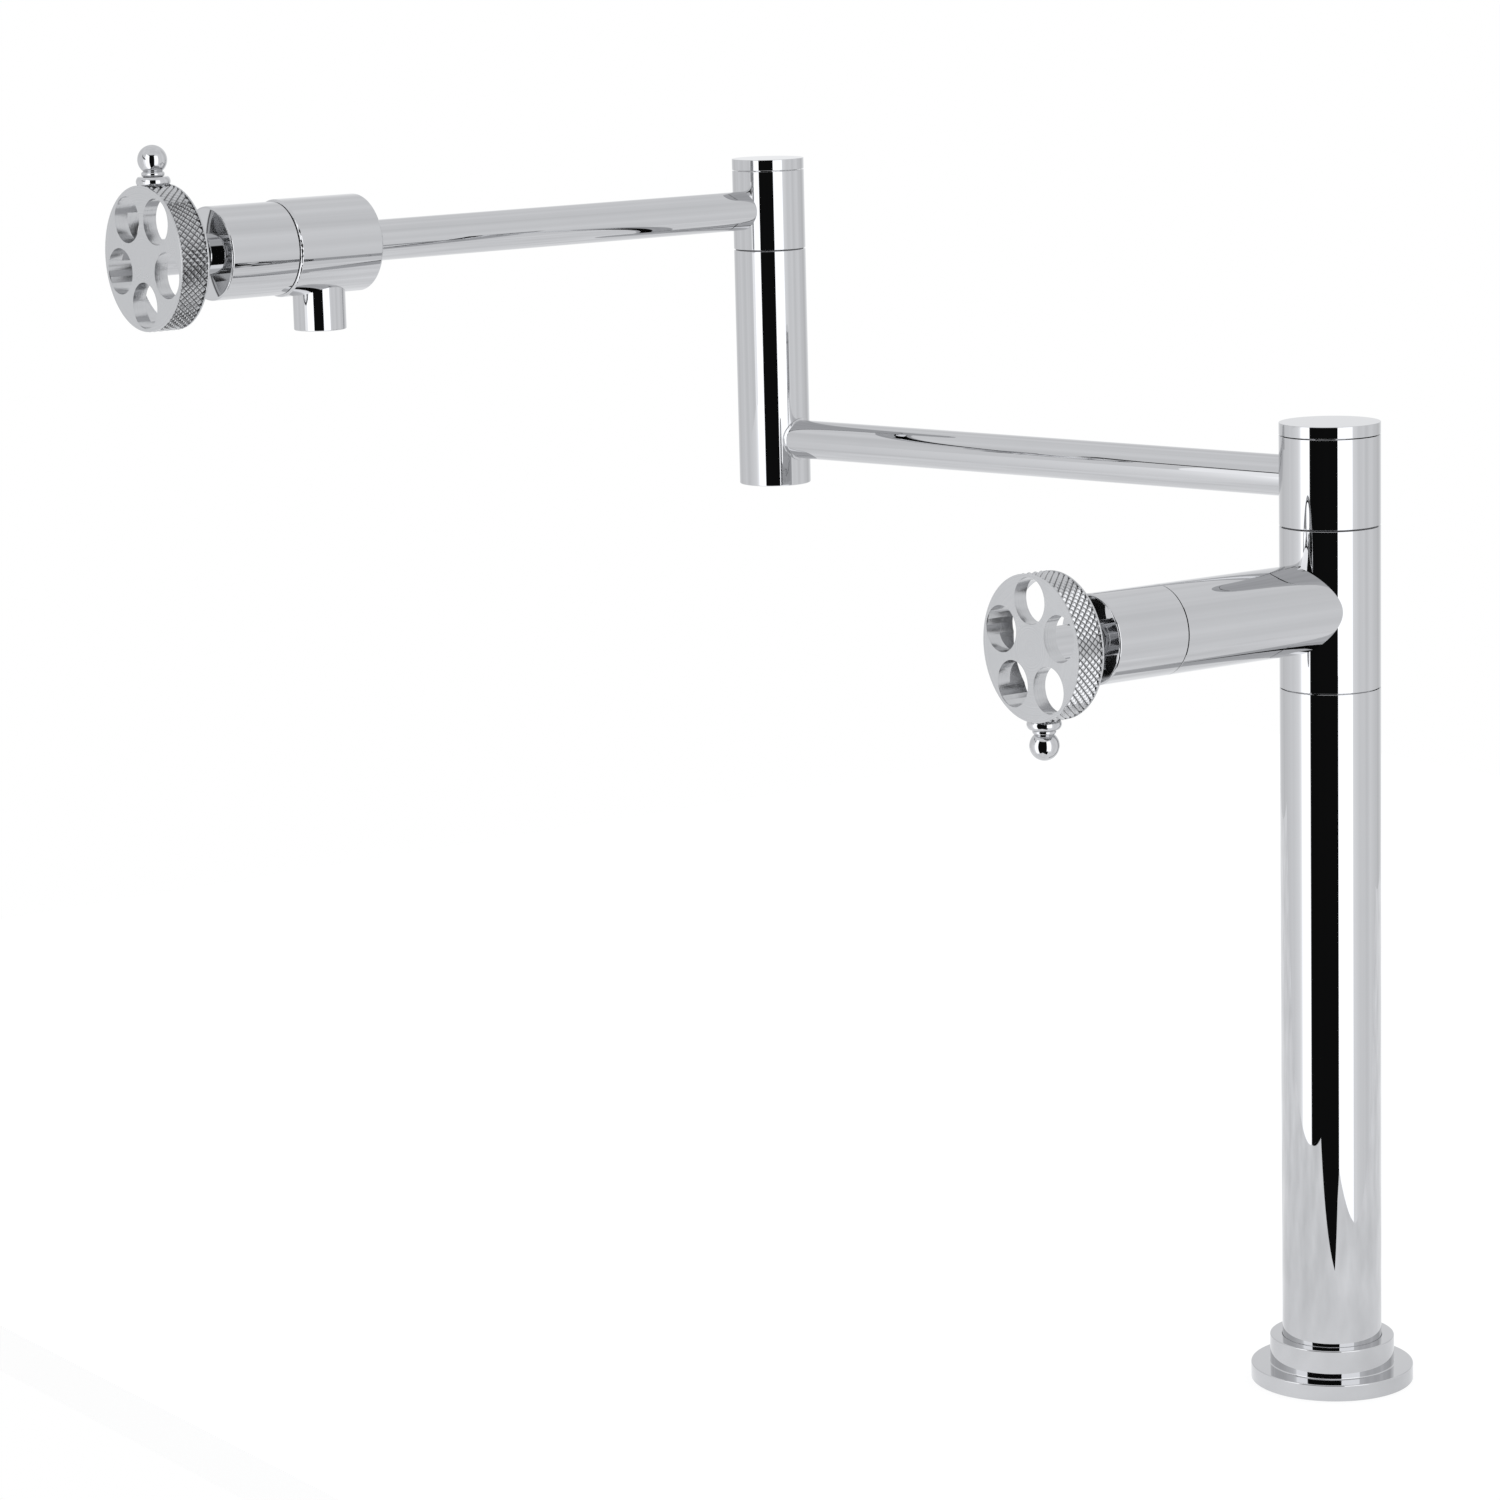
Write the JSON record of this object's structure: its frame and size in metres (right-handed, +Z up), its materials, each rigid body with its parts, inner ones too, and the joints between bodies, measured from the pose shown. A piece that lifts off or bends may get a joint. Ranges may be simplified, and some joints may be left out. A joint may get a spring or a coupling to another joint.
{
  "type": "deck mount pot filler",
  "caption": "Deck mount pot filler: tall round riser with a side valve branch, jointed level arms with an elbow post, a barrel spout head and knurled handwheels with ball finials.",
  "frame": {"origin": "centre of the base flange's underside, on the deck", "axes": "+Z up along the column; -Y along the column valve's branch, toward the user; +X to the user's right"},
  "size_m": [0.3101, 0.3938, 0.5601],
  "materials": {
    "polished_chrome": "mirror polished chrome plate",
    "wheel_chrome": "chrome plate over a turned face and a diamond knurled rim",
    "brass": "machined brass",
    "steel": "plain stainless steel",
    "rubber": "matt black rubber",
    "nylon": "dark nylon",
    "ceramic": "lapped alumina"
  },
  "bodies": {
    "column": {"base_flange": "polished_chrome", "base_gasket": "rubber", "column_bonnet": "polished_chrome", "column_cartridge_body": "brass", "column_cartridge_seat": "rubber", "column_fixed_disc": "ceramic", "column_retaining_screw": "steel", "column_retaining_washer": "steel", "column_swivel_pin": "brass", "column_swivel_seals": "rubber", "column_thrust_washer": "nylon", "deck_washer_rubber": "rubber", "deck_washer_steel": "steel", "mounting_nut": "steel", "mounting_shank": "brass", "riser_tube": "polished_chrome", "supply_tube": "steel", "valve_body": "polished_chrome"},
    "lower_arm": {"swivel_head": "polished_chrome", "column_cap": "polished_chrome", "lower_arm_tube": "polished_chrome", "elbow_post": "polished_chrome", "elbow_swivel_pin": "brass", "elbow_swivel_seals": "rubber", "elbow_thrust_washer": "nylon", "elbow_retaining_washer": "steel", "elbow_retaining_screw": "steel"},
    "upper_arm": {"elbow_head": "polished_chrome", "elbow_cap": "polished_chrome", "upper_arm_tube": "polished_chrome", "spout_body": "polished_chrome", "aerator_housing": "polished_chrome", "aerator_insert": "nylon", "aerator_washer": "rubber", "spout_bonnet": "polished_chrome", "spout_cartridge_body": "brass", "spout_cartridge_seat": "rubber", "spout_fixed_disc": "ceramic"},
    "column_handle": {"column_handwheel": "wheel_chrome", "column_finial": "polished_chrome", "column_hub": "polished_chrome", "column_grub_screw": "steel", "column_spindle": "brass", "column_moving_disc": "ceramic"},
    "spout_handle": {"spout_handwheel": "wheel_chrome", "spout_finial": "polished_chrome", "spout_hub": "polished_chrome", "spout_grub_screw": "steel", "spout_spindle": "brass", "spout_moving_disc": "ceramic"}
  },
  "joints": [
    {"name": "column_swivel", "type": "hinge", "parent": "column", "child": "lower_arm", "pos_m": [0, 0, 0.333], "axis": [0, 0, 1], "continuous": true},
    {"name": "elbow_swivel", "type": "hinge", "parent": "lower_arm", "child": "upper_arm", "pos_m": [-0.26441, -0.06592, 0.4277], "axis": [0, 0, 1], "continuous": true},
    {"name": "column_valve_turn", "type": "hinge", "parent": "column", "child": "column_handle", "pos_m": [0, -0.1163, 0.3023], "axis": [0, -1, 0], "range_deg": [0, 90]},
    {"name": "spout_valve_turn", "type": "hinge", "parent": "upper_arm", "child": "spout_handle", "pos_m": [-0.25039, -0.33336, 0.4435], "axis": [0.0523, -0.9986, 0], "range_deg": [0, 90]}
  ]
}
